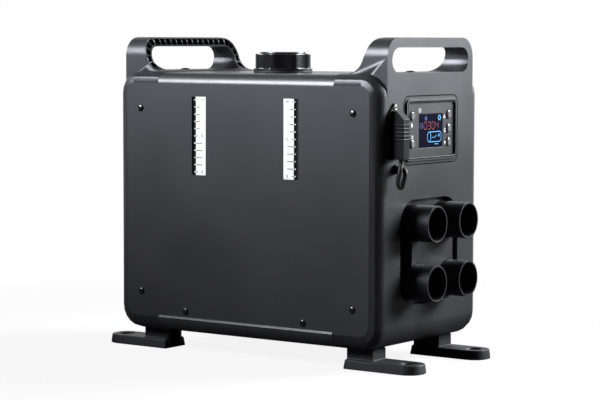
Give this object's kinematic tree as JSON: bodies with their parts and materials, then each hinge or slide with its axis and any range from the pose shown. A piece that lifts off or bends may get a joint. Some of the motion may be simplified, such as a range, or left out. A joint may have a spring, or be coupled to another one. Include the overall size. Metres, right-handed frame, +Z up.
{
  "type": "parking heater",
  "caption": "Portable diesel parking heater in a case with carrying handles, tank gauges, filler cap, controller, power plug, feet and warm air outlets.",
  "frame": {"origin": "on the floor, under the middle of the case", "axes": "+X towards the controller and the warm air outlets, -Y towards the front with the gauges, +Z up"},
  "size_m": [0.4504, 0.2164, 0.375],
  "materials": {
    "case_plastic": "fine texture",
    "painted_sheet": "satin powder coat",
    "black_plastic": "satin",
    "gloss_black": "gloss",
    "rubber": "matte",
    "black_screw": "blackened steel",
    "steel": "plated",
    "cast_aluminium": "as cast",
    "tank_plastic": "natural, slightly waxy",
    "white_scale": "printed film",
    "sight_strip": "smoked",
    "key": "satin gloss",
    "display": "clear cover over a dark display",
    "circuit_board": "solder mask",
    "cable": "smooth sheath"
  },
  "bodies": {
    "case": {"left_end_shell": "case_plastic", "right_end_shell": "case_plastic", "controller_frame": "case_plastic", "controller_fascia": "case_plastic", "outlet_trim": "case_plastic", "front_cover": "painted_sheet", "rear_cover": "painted_sheet", "socket_flange": "black_plastic", "plug_hood": "black_plastic", "cable_gland": "black_plastic", "outlet_manifold": "black_plastic", "heater_case": "black_plastic", "intake_grille": "black_plastic", "control_unit": "black_plastic", "combustion_air_pipe": "black_plastic", "suction_line": "rubber", "feed_line": "rubber", "foot_left_front": "rubber", "foot_left_rear": "rubber", "foot_right_front": "rubber", "foot_right_rear": "rubber", "screw_front_top_left": "black_screw", "screw_front_top_right": "black_screw", "screw_front_low_left": "black_screw", "screw_front_low_right": "black_screw", "screw_floor_left": "black_screw", "screw_floor_right": "black_screw", "screw_rear_top_left": "black_screw", "screw_rear_top_right": "black_screw", "screw_rear_low_left": "black_screw", "screw_rear_low_right": "black_screw", "screw_top_left": "black_screw", "screw_top_right": "black_screw", "floor_plate": "steel", "tank_shelf": "steel", "blower_motor": "steel", "fuel_pump": "steel", "glow_plug": "steel", "exhaust_pipe": "steel", "heat_exchanger": "cast_aluminium", "burner": "cast_aluminium", "fuel_tank": "tank_plastic", "gauge_scale_left": "white_scale", "gauge_scale_right": "white_scale", "sight_strip_left": "sight_strip", "sight_strip_right": "sight_strip", "display": "display", "controller_board": "circuit_board", "cable_loop": "cable"},
    "seal": {"cap_seal": "rubber"},
    "cap": {"fuel_cap": "gloss_black"},
    "rotor": {"blower_fan": "black_plastic", "combustion_wheel": "cast_aluminium"},
    "key_power": {"button_power": "key"},
    "key_mode": {"button_mode": "key"},
    "key_up": {"button_up": "key"},
    "key_set": {"button_set": "key"},
    "key_down": {"button_down": "key"}
  },
  "joints": [
    {"name": "cap_lift", "type": "slide", "parent": "case", "child": "seal", "axis": [0, 0, 1], "range_m": [0, 0.06]},
    {"name": "cap_unscrew", "type": "hinge", "parent": "seal", "child": "cap", "pos_m": [0.0015, -0.03, 0.34], "axis": [0, 0, 1], "range_deg": [0, 540]},
    {"name": "blower_spin", "type": "hinge", "parent": "case", "child": "rotor", "pos_m": [-0.1, -0.0017, 0.1319], "axis": [1, 0, 0], "continuous": true},
    {"name": "power_press", "type": "slide", "parent": "case", "child": "key_power", "axis": [-1, 0, 0], "range_m": [0, 0.0007], "stiffness_N_per_m": 1500},
    {"name": "mode_press", "type": "slide", "parent": "case", "child": "key_mode", "axis": [-1, 0, 0], "range_m": [0, 0.0007], "stiffness_N_per_m": 1500},
    {"name": "up_press", "type": "slide", "parent": "case", "child": "key_up", "axis": [-1, 0, 0], "range_m": [0, 0.0007], "stiffness_N_per_m": 1500},
    {"name": "set_press", "type": "slide", "parent": "case", "child": "key_set", "axis": [-1, 0, 0], "range_m": [0, 0.0007], "stiffness_N_per_m": 1500},
    {"name": "down_press", "type": "slide", "parent": "case", "child": "key_down", "axis": [-1, 0, 0], "range_m": [0, 0.0007], "stiffness_N_per_m": 1500}
  ]
}
